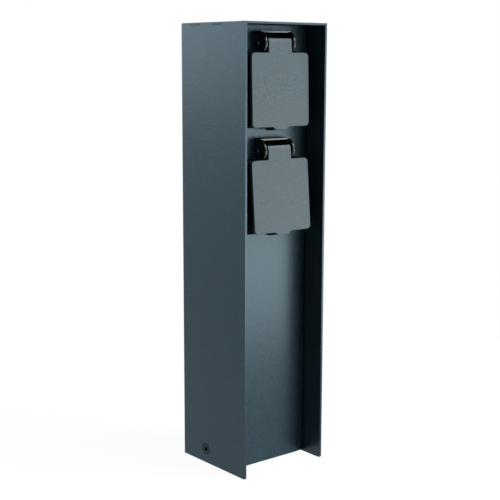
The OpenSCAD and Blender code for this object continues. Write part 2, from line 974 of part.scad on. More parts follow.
// Cup with the plug well, its two guide ribs and the contact chamber behind the floor
module socket_cup() {
    color(matt_black)
        difference() {
            union() {
                along_y(cup_flange_front, frame_back)
                    rounded_rect(pocket_w - 2 * flange_gap, pocket_h - 2 * flange_gap, frame_r);
                rod_y(cup_r, cup_front, cup_back);
            }
            difference() {
                rod_y(well_r, cup_front - past, floor_front);
                for (x = [-1, 1])
                    box(
                        x > 0 ? [well_r - rib_h, cup_r] : [-cup_r, -well_r + rib_h],
                        [rib_front, floor_back],
                        [-rib_w / 2, rib_w / 2]
                    );
            }
            rod_y(well_r, floor_back, cup_back + past);
            for (x = [-contact_x, contact_x])
                translate([x, 0, 0])
                    rod_y(aperture_r, cup_front, cup_back);
            rod_y(m3_r + fit_gap, cup_front, cup_back);
            for (z = [-1, 1])
                translate([0, 0, z * (clip_z - clip_bow / 2)])
                    box(
                        [-clip_w / 2 - fit_gap, clip_w / 2 + fit_gap],
                        [cup_front, cup_back],
                        [-clip_t - fit_gap, clip_t + fit_gap]
                    );
            at_flange_screws()
                rod_y(screw_hole_r, cup_flange_front - past, past);
        }
}

// Cover that closes the chamber and holds the contacts by their collars
module socket_rear_cover() {
    collar_back = contact_front + collar_t;
    color(matt_black)
        difference() {
            union() {
                rod_y(cup_r, cup_back + sheet_gap, cover_back);
                rod_y(well_r - fit_gap, collar_back + sheet_gap, cover_back);
            }
            for (x = [-contact_x, contact_x])
                translate([x, 0, 0])
                    rod_y(sleeve_r + fit_gap, collar_back - past, cover_back + past);
            rod_y(m3_r + thread_gap, collar_back - past, cover_back + past);
            box(
                [-clip_w / 2 - fit_gap, clip_w / 2 + fit_gap],
                [collar_back - past, cover_back + past],
                [earth_z - clip_t / 2 - fit_gap, earth_z + clip_t / 2 + fit_gap]
            );
        }
}

// Square terminal along Y with a wire hole at the back and a screw hole from above
module cage(front) {
    difference() {
        box([-cage_w / 2, cage_w / 2], [front, front + cage_w], [-cage_w / 2, cage_w / 2]);
        rod_y(wire_hole_r, front + cage_w - wire_hole_d, front + cage_w + past);
        translate([0, front + cage_w / 2, 0])
            cylinder(r = m3_r + thread_gap, h = cage_w);
    }
}

// Brass sleeve for a plug pin, with a collar and a terminal
module socket_contact(x) {
    color(brass)
        translate([x, 0, 0]) {
            difference() {
                union() {
                    rod_y(collar_r, contact_front, contact_front + collar_t);
                    rod_y(sleeve_r, contact_front, sleeve_back);
                }
                rod_y(contact_bore_r, contact_front - past, sleeve_back + past);
            }
            cage(sleeve_back);
        }
}

// Strap behind the floor with two sprung fingers in the well, and its terminal
module socket_earth_clip() {
    strap_back = floor_back + clip_t;
    bow_y = (clip_front + floor_front) / 2;
    color(brass) {
        difference() {
            along_x(-clip_w / 2, clip_w / 2) {
                translate([floor_back, -clip_z])
                    square([clip_t, 2 * clip_z]);
                for (z = [0, 1])
                    mirror([0, z])
                        polygon([
                            [strap_back, clip_z], [floor_front, clip_z], [bow_y, clip_z - clip_bow],
                            [clip_front, clip_z], [clip_front, clip_z - clip_t],
                            [bow_y, clip_z - clip_bow - clip_t], [floor_front, clip_z - clip_t],
                            [strap_back, clip_z - clip_t]
                        ]);
            }
            rod_y(m3_r + fit_gap, floor_back - past, strap_back + past);
        }
        box(
            [-clip_w / 2, clip_w / 2],
            [floor_back, sleeve_back + join],
            [earth_z - clip_t / 2, earth_z + clip_t / 2]
        );
        translate([0, 0, earth_z])
            cage(sleeve_back);
    }
}

module socket_terminal_screws() {
    tip = cage_w / 2 - wire_r;
    color(zinc)
        for (p = [[-contact_x, 0], [contact_x, 0], [0, earth_z]])
            translate([p.x, sleeve_back + cage_w / 2, p.y + cage_w / 2 + fit_gap])
                slotted_screw(m3_r, tip, m3_head_r, m3_head_h);
}

module socket_centre_screw() {
    color(zinc)
        translate([0, floor_front, 0])
            rotate([90, 0, 0])
                slotted_screw(m3_r, cover_back - floor_front, m3_head_r, m3_head_h);
}

module socket_flange_screws() {
    color(zinc)
        at_flange_screws()
            difference() {
                union() {
                    cone_y(m4_head_r, m4_r, frame_front, frame_front + m4_head_r - m4_r);
                    rod_y(m4_r, frame_front + join, flange_screw_back);
                }
                for (turn = [0, 90])
                    rotate([0, turn, 0])
                        box(
                            [-cross_l / 2, cross_l / 2],
                            [frame_front - past, frame_front + cross_d],
                            [-slot_w / 2, slot_w / 2]
                        );
            }
}

module socket_flange_nuts() {
    color(zinc)
        at_flange_screws()
            difference() {
                translate([0, panel_t, 0])
                    rotate([-90, 0, 0])
                        hex_prism(m4_nut, m4_nut_t);
                rod_y(m4_r + thread_gap, panel_t - past, panel_t + m4_nut_t + past);
            }
}

module hinge_pin() {
    color(zinc)
        rod_x(pin_r, -hood_w / 2 + sheet_gap, hood_w / 2 - sheet_gap);
}

// The spring's coil round the pin, with one leg down to the frame and one up behind the neck
function coil_point(t) =
    let (a = 180 + 360 * (spring_turns + 0.5) * t)
    [spring_l * (t - 0.5), spring_r * cos(a), -spring_r * sin(a)];
coil_steps = curl_rings * spring_turns + curl_rings / 2;
coil = [for (i = [0 : coil_steps]) coil_point(i / coil_steps)];
leg_up = spring_r + spring_wire;
leg_down = pivot_up - frame_rise - spring_wire / 2 - fit_gap;
spring_path = concat(
    [for (i = [leg_steps : -1 : 1]) coil[0] + [0, 0, leg_up * i / leg_steps]],
    coil,
    [for (i = [1 : leg_steps]) coil[coil_steps] - [0, 0, leg_down * i / leg_steps]]
);
coil_gaps = [
    for (i = [0 : coil_steps], j = [i + curl_rings / 2 : coil_steps])
        norm(coil[i] - coil[j]) - spring_wire
];
echo(least_spring_gap = min(coil_gaps));

module lid_spring() {
    color(zinc)
        coil_tube(spring_path, spring_wire / 2, curl_sides);
}

// A tube along a coil round X: each ring stands on the coil's own radius
module coil_tube(p, r, n) {
    last = len(p) - 1;
    rings = [
        for (i = [0 : last])
            let (
                t = tangent(p, i),
                u = unit(cross(t, [0, p[i].y, p[i].z])),
                v = cross(u, t)
            )
            each [for (k = [0 : n - 1]) p[i] + r * (cos(360 * k / n) * u + sin(360 * k / n) * v)]
    ];
    sides = [
        for (i = [0 : last - 1], k = [0 : n - 1])
            each [
                [i * n + k, i * n + (k + 1) % n, (i + 1) * n + k],
                [(i + 1) * n + k, i * n + (k + 1) % n, (i + 1) * n + (k + 1) % n]
            ]
    ];
    ends = [
        for (k = [1 : n - 2])
            each [[0, k + 1, k], [last * n, last * n + k, last * n + k + 1]]
    ];
    polyhedron(points = rings, faces = concat(sides, ends));
}

// Lid in the hinge pin's frame, hanging straight down
module lid_outline() {
    translate([0, -lid_drop - lid_h / 2])
        rounded_rect(lid_w, lid_h, lid_r);
    translate([-neck_w / 2, -lid_drop - join])
        square([neck_w, lid_drop + join]);
    translate([0, -lid_drop - lid_h])
        polygon([
            [-tab_top_w / 2, join], [tab_top_w / 2, join], [tab_top_w / 2, 0],
            [tab_low_w / 2, -tab_h], [-tab_low_w / 2, -tab_h], [-tab_top_w / 2, 0]
        ]);
}

// Side view of the neck: the front wall, its rounded top and the web to the knuckles
module neck_side() {
    polygon([
        [-lid_out, -lid_drop - join], [-lid_out, 0], [0, 0], [-neck_web, neck_web / 2 - knuckle_r],
        [neck_web - lid_back, neck_front_z + neck_web], [-lid_back, neck_front_z], [-lid_back, -lid_drop - join]
    ]);
    intersection() {
        circle(lid_out);
        translate([-lid_out, -join])
            square([lid_out, neck_top + join]);
    }
    circle(knuckle_r);
}

module lid_leaf() {
    color(anthracite)
        difference() {
            union() {
                along_y(-lid_out, -lid_back)
                    lid_outline();
                along_x(-neck_w / 2, neck_w / 2)
                    neck_side();
            }
            rod_x(spring_pocket_r, -spring_pocket_w / 2, spring_pocket_w / 2);
            rod_x(pin_r + run_gap, -neck_w, neck_w);
            translate([0, 0, -pivot_up])
                difference() {
                    rod_y(seal_r + sheet_gap, -lid_back - seal_groove, -lid_back + past);
                    rod_y(seal_r - seal_w - sheet_gap, -lid_back - seal_groove - past, -lid_back + 2 * past);
                }
        }
}

// Seal in the lid's groove, trimmed to meet the frame when the lid is shut
module lid_seal() {
    shut = pivot_out - frame_proud - sheet_gap;
    color(rubber_black)
        difference() {
            translate([0, 0, -pivot_up])
                difference() {
                    rod_y(seal_r, -lid_back - seal_groove + sheet_gap, -lid_back + 2 * seal_w);
                    rod_y(seal_r - seal_w, -lid_back - seal_groove - past, past);
                }
            rotate([upper_rest_angle, 0, 0])
                box([-lid_w, lid_w], [shut, lid_w], [-2 * lid_h, lid_h]);
        }
}

// The two sockets

module upper_frame() { at_socket(upper_z) socket_frame(); }
module upper_gasket() { at_socket(upper_z) socket_gasket(); }
module upper_cup() { at_socket(upper_z) socket_cup(); }
module upper_rear_cover() { at_socket(upper_z) socket_rear_cover(); }
module upper_live_contact() { at_socket(upper_z) socket_contact(-contact_x); }
module upper_neutral_contact() { at_socket(upper_z) socket_contact(contact_x); }
module upper_earth_clip() { at_socket(upper_z) socket_earth_clip(); }
module upper_terminal_screws() { at_socket(upper_z) socket_terminal_screws(); }
module upper_centre_screw() { at_socket(upper_z) socket_centre_screw(); }
module upper_flange_screws() { at_socket(upper_z) socket_flange_screws(); }
module upper_flange_nuts() { at_socket(upper_z) socket_flange_nuts(); }
module upper_hinge_pin() { at_pivot(upper_z) hinge_pin(); }
module upper_lid_spring() { at_pivot(upper_z) lid_spring(); }
module upper_lid() { at_lid(upper_z, upper_rest_angle) lid_leaf(); }
module upper_lid_seal() { at_lid(upper_z, upper_rest_angle) lid_seal(); }

module lower_frame() { at_socket(lower_z) socket_frame(); }
module lower_gasket() { at_socket(lower_z) socket_gasket(); }
module lower_cup() { at_socket(lower_z) socket_cup(); }
module lower_rear_cover() { at_socket(lower_z) socket_rear_cover(); }
module lower_live_contact() { at_socket(lower_z) socket_contact(-contact_x); }
module lower_neutral_contact() { at_socket(lower_z) socket_contact(contact_x); }
module lower_earth_clip() { at_socket(lower_z) socket_earth_clip(); }
module lower_terminal_screws() { at_socket(lower_z) socket_terminal_screws(); }
module lower_centre_screw() { at_socket(lower_z) socket_centre_screw(); }
module lower_flange_screws() { at_socket(lower_z) socket_flange_screws(); }
module lower_flange_nuts() { at_socket(lower_z) socket_flange_nuts(); }
module lower_hinge_pin() { at_pivot(lower_z) hinge_pin(); }
module lower_lid_spring() { at_pivot(lower_z) lid_spring(); }
module lower_lid() { at_lid(lower_z, lower_rest_angle) lid_leaf(); }
module lower_lid_seal() { at_lid(lower_z, lower_rest_angle) lid_seal(); }

housing_shell();
roof_plate();
front_panel();
base_plate();
base_nuts();
side_screws();
cable_grommet();
terminal_bracket();
terminal_block();
block_inserts();
block_clamp_screws();
block_fixing_screws();
cord_clamp();
clamp_screws();
earth_screw();
earth_lug();
live_wires();
neutral_wires();
earth_wires();
upper_frame();
upper_gasket();
upper_cup();
upper_rear_cover();
upper_live_contact();
upper_neutral_contact();
upper_earth_clip();
upper_terminal_screws();
upper_centre_screw();
upper_flange_screws();
upper_flange_nuts();
upper_hinge_pin();
upper_lid_spring();
upper_lid();
upper_lid_seal();
lower_frame();
lower_gasket();
lower_cup();
lower_rear_cover();
lower_live_contact();
lower_neutral_contact();
lower_earth_clip();
lower_terminal_screws();
lower_centre_screw();
lower_flange_screws();
lower_flange_nuts();
lower_hinge_pin();
lower_lid_spring();
lower_lid();
lower_lid_seal();
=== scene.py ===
"""Outdoor socket pillar: an anthracite steel column with two sockets under sprung lids."""

import json
import math

import bmesh
import bpy
from bpy.props import (
    FloatProperty,
    FloatVectorProperty,
    IntProperty,
    PointerProperty,
)
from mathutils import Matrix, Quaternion, Vector


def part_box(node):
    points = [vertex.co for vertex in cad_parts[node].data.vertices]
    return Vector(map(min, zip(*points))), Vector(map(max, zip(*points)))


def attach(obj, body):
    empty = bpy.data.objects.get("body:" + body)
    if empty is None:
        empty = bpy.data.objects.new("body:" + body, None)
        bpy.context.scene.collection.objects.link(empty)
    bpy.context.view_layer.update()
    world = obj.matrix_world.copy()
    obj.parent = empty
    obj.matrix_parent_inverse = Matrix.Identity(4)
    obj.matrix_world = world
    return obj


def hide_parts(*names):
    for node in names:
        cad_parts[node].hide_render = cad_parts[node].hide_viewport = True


bl_info = {
    "name": "Outdoor Socket Pillar",
    "version": (1, 0, 0),
    "blender": (4, 5, 0),
    "location": "View3D > Sidebar > Pillar",
    "description": "Dresses a steel socket pillar with its finishes, rounded edges and studio",
    "category": "Object",
}

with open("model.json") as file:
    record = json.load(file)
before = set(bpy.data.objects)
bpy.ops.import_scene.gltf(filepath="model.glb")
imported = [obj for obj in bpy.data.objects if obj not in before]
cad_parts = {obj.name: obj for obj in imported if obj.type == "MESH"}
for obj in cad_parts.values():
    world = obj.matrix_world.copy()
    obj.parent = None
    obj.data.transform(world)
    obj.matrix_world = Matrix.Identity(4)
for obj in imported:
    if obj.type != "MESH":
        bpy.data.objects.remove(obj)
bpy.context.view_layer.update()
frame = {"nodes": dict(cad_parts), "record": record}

MM = 0.001
SOCKETS = ("upper", "lower")

# Frames: the rounding around a frame's face and along its hood's ears, and the faces across it
RIM = 1.5 * MM
EAR = 1.15 * MM
WIDE_STEPS = 5
# A frame's face: a little more than the radius of its corners, how far the gasket stands in
# from its edge, and how far the painted shade on its face reaches past its top edge
RIM_CORNER = 3.2 * MM
GASKET_INSET = 0.5 * MM
SHADE_PAST_TOP = 0.1 * MM
# A hood, along Y: where its wall at the panel begins, from which on it gets painted shade, and the
# front of its ears
HOOD_BACK = -24.5 * MM
EAR_FRONT = -31.6 * MM
# A hood, from the pin: how far an ear's arc reaches down and up, and where the bridge begins
EAR_DOWN = 6.4 * MM
EAR_UP = 8 * MM
BRIDGE_UP = 6 * MM
# Up part of a normal from which a face on the bridge's top gets painted shade
HOOD_TILT = 0.3
# Behind a lid's neck, from the pin: how far the room for the spring reaches out, and up or down
NECK_BACK = 5.6 * MM
NECK_ROOM = 7 * MM
# Part of a normal along an axis from which a face looks that way
FACING = 0.9

# Meshes: how near two places count as one, in a CAD mesh and in a search for edges, the angle
# up to which faces count as flat, from which edges are rounded, and up to which they shade soft
MERGE = 0.001 * MM
TOUCH = 0.02 * MM
FLAT = math.radians(0.5)
SHARP = math.radians(25)
SOFT = math.radians(40)

# Earth wire: the step of its bands, and the share of a band that is green
BAND = 18 * MM
GREEN = 0.55

# Camera in the photograph's place, the point at the middle of its view, its roll, and the
# sensor's width in millimetres
CAMERA_PLACE = Vector((-635.7, -772.6, 368.0)) * MM
CAMERA_AIM = Vector((-11.2, -10.1, 198.8)) * MM
CAMERA_ROLL = math.radians(0.15)
SENSOR = 36

# Floor: its radius in metres, the strength of its glow, and the glow's share in what is seen;
# the rest is the lit table top with the column's shadow
FLOOR_RADIUS = 0.55
FLOOR_GLOW = 1.18
FLOOR_SHARE = 0.8
# Colour in which reflections show the floor and the world
REFLECTED = (0.8, 0.95, 1.0, 1.0)

# Lamps: name, place, width and height in metres, radiance and colour; they face the aim
AIM = Vector((0, 0, 0.25))
LAMPS = (
    ("Right soft box", (0.81, -0.99, 0.0), (1.3, 0.6), 5.3, (1.0, 0.96, 0.89)),
    ("Strip light", (0.81, -0.99, 0.44), (1.3, 0.04), 8.5, (0.86, 0.95, 1.0)),
    ("Front soft box", (0.81, -0.99, 1.2), (1.3, 0.8), 9.0, (0.96, 0.99, 1.0)),
    ("Left soft box", (-0.81, 0.99, 0.5), (1.3, 0.4), 2.7, (0.85, 0.96, 1.0)),
    ("Top soft box", (0.0, 0.0, 1.7), (1.2, 1.2), 0.8, (1.0, 1.0, 1.0)),
)


def linear(code):
    """The linear RGB of an sRGB hex colour."""
    channels = [int(code[i : i + 2], 16) / 255 for i in (1, 3, 5)]
    return tuple(
        c / 12.92 if c <= 0.04045 else ((c + 0.055) / 1.055) ** 2.4 for c in channels
    )


# Settings that a user would change


class PillarFinishes(bpy.types.PropertyGroup):
    """Colours of the pillar's finishes."""

    coat: FloatVectorProperty(
        name="Powder coat",
        description="Anthracite of the folded sheets",
        subtype="COLOR",
        min=0,
        max=1,
        default=linear("#212d35"),
    )
    lid: FloatVectorProperty(
        name="Lids",
        description="Anthracite of the lids, a shade lighter than the sheets",
        subtype="COLOR",
        min=0,
        max=1,
        default=linear("#424c51"),
    )
    # This black also colours the painted shade on the frames, the hoods and the roof's underside
    gloss: FloatVectorProperty(
        name="Glossy moulding",
        description="Black of the frames and hinge hoods",
        subtype="COLOR",
        min=0,
        max=1,
        default=linear("#060708"),
    )
    matt: FloatVectorProperty(
        name="Matt moulding",
        description="Black of the socket cups and covers",
        subtype="COLOR",
        min=0,
        max=1,
        default=linear("#121314"),
    )
    rubber: FloatVectorProperty(
        name="Rubber",
        description="Black of the gaskets, seals and the grommet",
        subtype="COLOR",
        min=0,
        max=1,
        default=linear("#1a1b1c"),
    )


class PillarEdges(bpy.types.PropertyGroup):
    """Radii that break the edges of the visible pieces."""

    sheet: FloatProperty(
        name="Sheet edges",
        description="Radius of the coat over a cut sheet edge",
        unit="LENGTH",
        subtype="DISTANCE",
        min=0.05 * MM,
        max=0.6 * MM,
        default=0.35 * MM,
    )
    lid: FloatProperty(
        name="Lid edges",
        description="Radius along the rim of a lid",
        unit="LENGTH",
        subtype="DISTANCE",
        min=0.05 * MM,
        max=0.8 * MM,
        default=0.45 * MM,
    )
    moulding: FloatProperty(
        name="Moulded edges",
        description="Radius on the edges of the glossy frames and hoods",
        unit="LENGTH",
        subtype="DISTANCE",
        min=0.05 * MM,
        max=0.8 * MM,
        default=0.2 * MM,
    )
    steps: IntProperty(
        name="Steps",
        description="Faces across each rounded edge",
        min=1,
        max=5,
        default=3,
    )


class PillarStudio(bpy.types.PropertyGroup):
    """Lamps and camera of the studio."""

    room_light: FloatProperty(
        name="Room",
        description="Strength of the even light from all round",
        min=0,
        max=2,
        default=0.08,
    )
    lens: FloatProperty(
        name="Lens",
        description="Focal length on a 36 mm sensor",
        unit="CAMERA",
        min=20,
        max=200,
        default=79.74,
    )


# Node helpers


def add_node(tree, kind, settings=None, **links):
    """Adds a shader node, sets its values and joins its inputs to other nodes' outputs."""
    node = tree.nodes.new(kind)
    for name, value in (settings or {}).items():
        if hasattr(node, name):
            setattr(node, name, value)
        else:
            node.inputs[name].default_value = value
    for name, source in links.items():
        tree.links.new(source, node.inputs[name.replace("_", " ")])
    return node


def new_material(name, colour, roughness, metallic=0.0, ior=1.5):
    """A material with a principled shader; returns the material, its tree and the shader."""
    material = bpy.data.materials.new(name)
    material.use_nodes = True
    tree = material.node_tree
    shader = tree.nodes["Principled BSDF"]
    shader.inputs["Base Color"].default_value = (*colour, 1)
    shader.inputs["Roughness"].default_value = roughness
    shader.inputs["Metallic"].default_value = metallic
    if not metallic:
        shader.inputs["IOR"].default_value = ior
    return material, tree, shader


def grain(tree, shader, size, height, detail=2.0, spread=0.0):
    """Bumps a surface with noise whose grains are size metres wide and height metres deep."""
    place = add_node(tree, "ShaderNodeTexCoord")
    noise = add_node(
        tree,
        "ShaderNodeTexNoise",
        {"Scale": 1 / size, "Detail": detail, "Roughness": 0.5},
        Vector=place.outputs["Object"],
    )
    bump = add_node(
        tree,
        "ShaderNodeBump",
        {"Strength": 1.0, "Distance": height},
        Height=noise.outputs["Fac"],
    )
    tree.links.new(bump.outputs["Normal"], shader.inputs["Normal"])
    if spread:
        base = shader.inputs["Roughness"].default_value
        rough = add_node(
            tree,
            "ShaderNodeMapRange",
            {"To Min": base - spread, "To Max": base + spread},
            Value=noise.outputs["Fac"],
        )
        tree.links.new(rough.outputs["Result"], shader.inputs["Roughness"])
    return noise


def cloud(tree, shader, colour, noise, shift):
    """Varies a colour with a noise, by the given share to each side."""
    mix = add_node(tree, "ShaderNodeMix", {"data_type": "RGBA"}, Factor=noise.outputs["Fac"])
    mix.inputs["A"].default_value = (*(c * (1 - shift) for c in colour), 1)
    mix.inputs["B"].default_value = (*(min(1, c * (1 + shift)) for c in colour), 1)
    tree.links.new(mix.outputs["Result"], shader.inputs["Base Color"])


# Materials


def powder_coat(name, colour, roughness, ior, shine):
    """Powder coat, sprayed and baked: satin with a cool shine and a fine, even orange peel."""
    material, tree, shader = new_material(name, colour, roughness, ior=ior)
    shader.inputs["Specular Tint"].default_value = (*shine, 1)
    # The pimples of a fine-textured coat are about 1 mm wide; the same noise mottles the colour,
    # painted lighter on their tops as a highlight and darker in the dips as shade
    pimples = grain(tree, shader, 1.3 * MM, 0.09 * MM, spread=0.07)
    cloud(tree, shader, colour, pimples, shift=0.75)
    return material


def glossy_moulding(colour):
    """Polyamide from a polished mould: deep black with sharp reflections."""
    material, tree, shader = new_material(
        "Polished black polyamide", colour, roughness=0.1, ior=1.53
    )
    grain(tree, shader, 6 * MM, 0.01 * MM, detail=1.0, spread=0.02)
    return material


def matt_moulding(colour):
    """Polyamide from an eroded mould: black with a fine dull grain."""
    material, tree, shader = new_material(
        "Grained black polyamide", colour, roughness=0.5, ior=1.53
    )
    grain(tree, shader, 0.5 * MM, 0.02 * MM, spread=0.06)
    return material


def roof_shade_coat(colour):
    """Painted shade: the roof's underside gets a near-black, dull coat that stands in for the shade
    falling there.
    """
    material, tree, shader = new_material("Roof underside painted shade", colour, roughness=0.9, ior=1.5)
    shader.inputs["Specular IOR Level"].default_value = 0.05
    grain(tree, shader, 1.3 * MM, 0.03 * MM, spread=0.05)
    return material


def shaded_moulding(colour):
    """Painted shade: black polyamide with almost no shine, put on the frames' faces beside the
    lids, the hoods' back walls and the bridges' tops.
    """
    material, tree, shader = new_material("Black polyamide with painted shade", colour, roughness=0.8, ior=1.53)
    shader.inputs["Specular IOR Level"].default_value = 0.06
    grain(tree, shader, 0.5 * MM, 0.02 * MM, spread=0.05)
    return material


def rubber(colour):
    """Moulded EPDM rubber: dull black that hardly shines."""
    material, tree, shader = new_material("Moulded EPDM rubber", colour, roughness=0.75, ior=1.52)
    grain(tree, shader, 0.8 * MM, 0.02 * MM, spread=0.05)
    return material


def zinc_plate():
    """Zinc-plated steel: bright grey with faint bluish clouds."""
    colour = linear("#b4b8bb")
    material, tree, shader = new_material("Zinc-plated steel", colour, roughness=0.32, metallic=1.0)
    clouds = grain(tree, shader, 6 * MM, 0.004 * MM, spread=0.07)
    cloud(tree, shader, colour, clouds, shift=0.1)
    return material


def black_screw():
    """Steel screws with a black oxide finish: nearly black with a soft metal glint."""
    colour = linear("#26282a")
    material, tree, shader = new_material("Black oxide steel", colour, roughness=0.3, metallic=1.0)
    grain(tree, shader, 0.6 * MM, 0.004 * MM, spread=0.06)
    return material


def brass():
    """Stamped and turned brass: warm yellow metal with fine tool marks."""
    colour = linear("#c8a352")
    material, tree, shader = new_material("Plain brass", colour, roughness=0.26, metallic=1.0)
    grain(tree, shader, 0.5 * MM, 0.003 * MM, spread=0.06)
    return material


def white_moulding():
    """Moulded polyamide in off-white: slightly shiny, with a little light inside."""
    colour = linear("#dfddd4")
    material, tree, shader = new_material("Off-white polyamide", colour, roughness=0.42, ior=1.53)
    grain(tree, shader, 1.0 * MM, 0.01 * MM, spread=0.04)
    return material


def wire_skin(name, code):
    """Extruded PVC insulation: evenly coloured with a soft shine along the wire."""
    colour = linear(code)
    material, tree, shader = new_material(name, colour, roughness=0.4, ior=1.53)
    grain(tree, shader, 1.5 * MM, 0.01 * MM, spread=0.04)
    return material


def earth_skin():
    """Extruded PVC insulation with the green and yellow bands of an earth wire."""
    green = linear("#3f8f36")
    material, tree, shader = new_material("Green and yellow PVC", green, roughness=0.4, ior=1.53)
    place = add_node(tree, "ShaderNodeTexCoord")
    band = add_node(
        tree,
        "ShaderNodeTexWave",
        {"Scale": 1 / BAND, "Distortion": 0.0, "bands_direction": "DIAGONAL"},
        Vector=place.outputs["Object"],
    )
    step = add_node(tree, "ShaderNodeValToRGB", Fac=band.outputs["Fac"])
    step.color_ramp.interpolation = "CONSTANT"
    step.color_ramp.elements[0].color = (*green, 1)
    step.color_ramp.elements[1].position = GREEN
    step.color_ramp.elements[1].color = (*linear("#d9c422"), 1)
    tree.links.new(step.outputs["Color"], shader.inputs["Base Color"])
    return material


def material_named(name, make, *values, **looks):
    """The material of that name, made on its first use."""
    found = bpy.data.materials.get(name)
    return found or make(*values, **looks)


def finishes():
    """The colours set in the panel."""
    return bpy.context.scene.pillar_finishes


def sheet_coat():
    """The coat of the shell, roof and panel."""
    name = "Anthracite powder coat"
    looks = {"roughness": 0.32, "ior": 1.5, "shine": linear("#c4eaff")}
    return material_named(name, powder_coat, name, finishes().coat, **looks)


def lid_coat():
    """The lids' paint: duller and lighter than the sheets' coat."""
    name = "Anthracite lid paint"
    looks = {"roughness": 0.5, "ior": 1.4, "shine": linear("#dcf5ff")}
    return material_named(name, powder_coat, name, finishes().lid, **looks)


def paint_nodes(material, names):
    """Gives CAD nodes a material in all their slots."""
    for name in names:
        mesh = frame["nodes"][name].data
        mesh.materials.clear()
        mesh.materials.append(material)


# Shapes


def round_edges(bm, edges, radius, steps, clamp=True):
    """Rounds edges of a mesh with the given number of faces across each."""
    bmesh.ops.bevel(
        bm,
        geom=edges,
        affect="EDGES",
        offset_type="OFFSET",
        offset=radius,
        segments=steps,
        profile=0.5,
        clamp_overlap=clamp,
        material=-1,
    )


def beside_pin(edge, pin):
    """Whether an edge lies behind the lid's neck, around the room for the spring."""
    return all(
        v.co.y > pin.y - NECK_BACK and abs(v.co.z - pin.z) < NECK_ROOM for v in edge.verts
    )


def rim_edges(bm, gasket):
    """Edges around the front face of a frame, found from the box of the gasket behind it."""
    low, high = gasket
    half = high.x + GASKET_INSET
    rise = (high.z - low.z) / 2 + GASKET_INSET
    middle = (high.z + low.z) / 2
    front = min(v.co.y for v in bm.verts if abs(v.co.z - middle) < rise / 2)
    return [
        edge
        for edge in bm.edges
        if all(
            abs(v.co.y - front) < TOUCH
            and abs(v.co.z - middle) < rise + TOUCH
            and (abs(v.co.x) > half - RIM_CORNER or abs(v.co.z - middle) > rise - RIM_CORNER)
            for v in edge.verts
        )
    ]


def ear_edges(bm, middle):
    """Edges along both sides of the hood's ears, on their arcs around the pin's height."""
    return [
        edge
        for edge in bm.edges
        if len(edge.link_faces) == 2
        and all(
            middle - EAR_DOWN < v.co.z < middle + EAR_UP and v.co.y < EAR_FRONT
            for v in edge.verts
        )
        and len({abs(face.normal.x) > FACING for face in edge.link_faces}) == 2
    ]


def softened(node, piece, radius, steps, material, wider=(), crisp=None):
    """A copy of a CAD node with its sharp edges rounded; it stands for the node.

    Each entry of wider has a function that picks edges and the larger radius they get first.
    The function crisp, where given, tells the edges that stay as they are.
    """
    source = frame["nodes"][node]
    bm = bmesh.new()
    bm.from_mesh(source.data)
    bmesh.ops.remove_doubles(bm, verts=bm.verts, dist=MERGE)
    bmesh.ops.dissolve_limit(
        bm,
        angle_limit=FLAT,
        verts=bm.verts,
        edges=bm.edges,
        use_dissolve_boundaries=False,
    )
    for pick, wide in wider:
        round_edges(bm, pick(bm), wide, WIDE_STEPS, clamp=False)
    sharp = [
        e
        for e in bm.edges
        if len(e.link_faces) == 2
        and e.is_convex
        and e.calc_face_angle(0) > SHARP
        and not (crisp and crisp(e))
    ]
    round_edges(bm, sharp, radius, steps)
    mesh = bpy.data.meshes.new(piece)
    bm.to_mesh(mesh)
    bm.free()
    for face in mesh.polygons:
        face.use_smooth = True
    mesh.set_sharp_from_angle(angle=SOFT)
    mesh.materials.append(material)
    made = bpy.data.objects.new(piece, mesh)
    bpy.context.scene.collection.objects.link(made)
    normals = made.modifiers.new("Even shading", "WEIGHTED_NORMAL")
    normals.keep_sharp = True
    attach(made, body_of_node(node))
    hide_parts(node)
    return made


def body_of_node(node):
    """The body that a CAD node belongs to in the record."""
    for body, names in frame["record"]["behaviour"]["bodies"].items():
        if node in names:
            return body
    raise RuntimeError(f"no body holds the node {node}")


# Operators


class PILLAR_OT_column(bpy.types.Operator):
    """Shell, recessed panel and roof in powder-coated sheet, with painted shade under the roof"""

    bl_idname = "pillar.column"
    bl_label = "Column"

    def execute(self, context):
        edges = context.scene.pillar_edges
        made = {
            node: softened(
                node,
                f"{node}_coated",
                edges.sheet,
                edges.steps,
                sheet_coat(),
            )
            for node in ("housing_shell", "roof_plate", "front_panel")
        }
        roof = made["roof_plate"].data
        # Painted shade: the faces that look down, the roof's underside, get a near-black dull coat
        roof.materials.append(roof_shade_coat(finishes().gloss))
        for face in roof.polygons:
            face.material_index = int(face.normal.z < -FACING)
        return {"FINISHED"}


class PILLAR_OT_frames(bpy.types.Operator):
    """Square frames and polished hinge hoods, with painted shade on the frames' faces, the hoods'
    back walls and the bridges' tops
    """

    bl_idname = "pillar.frames"
    bl_label = "Frames and hoods"

    def execute(self, context):
        edges = context.scene.pillar_edges
        gloss = material_named("Polished black polyamide", glossy_moulding, finishes().gloss)
        dull = material_named("Black polyamide with painted shade", shaded_moulding, finishes().gloss)
        for side in SOCKETS:
            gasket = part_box(f"{side}_gasket")
            top = gasket[1].z + GASKET_INSET + SHADE_PAST_TOP
            pin = sum(corner.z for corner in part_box(f"{side}_hinge_pin")) / 2
            made = softened(
                f"{side}_frame",
                f"{side}_frame_moulding",
                edges.moulding,
                edges.steps,
                gloss,
                (
                    (lambda bm, gasket=gasket: rim_edges(bm, gasket), RIM),
                    (lambda bm, pin=pin: ear_edges(bm, pin), EAR),
                ),
            )
            made.data.materials.append(dull)
            for face in made.data.polygons:
                # Painted shade: the frame's face, the hood's wall at the panel and the bridge's top
                # get the dull black
                around = face.center.z < top or face.center.y > HOOD_BACK
                above = face.center.z > pin + BRIDGE_UP and face.normal.z > HOOD_TILT
                face.material_index = int(around or above)
        return {"FINISHED"}


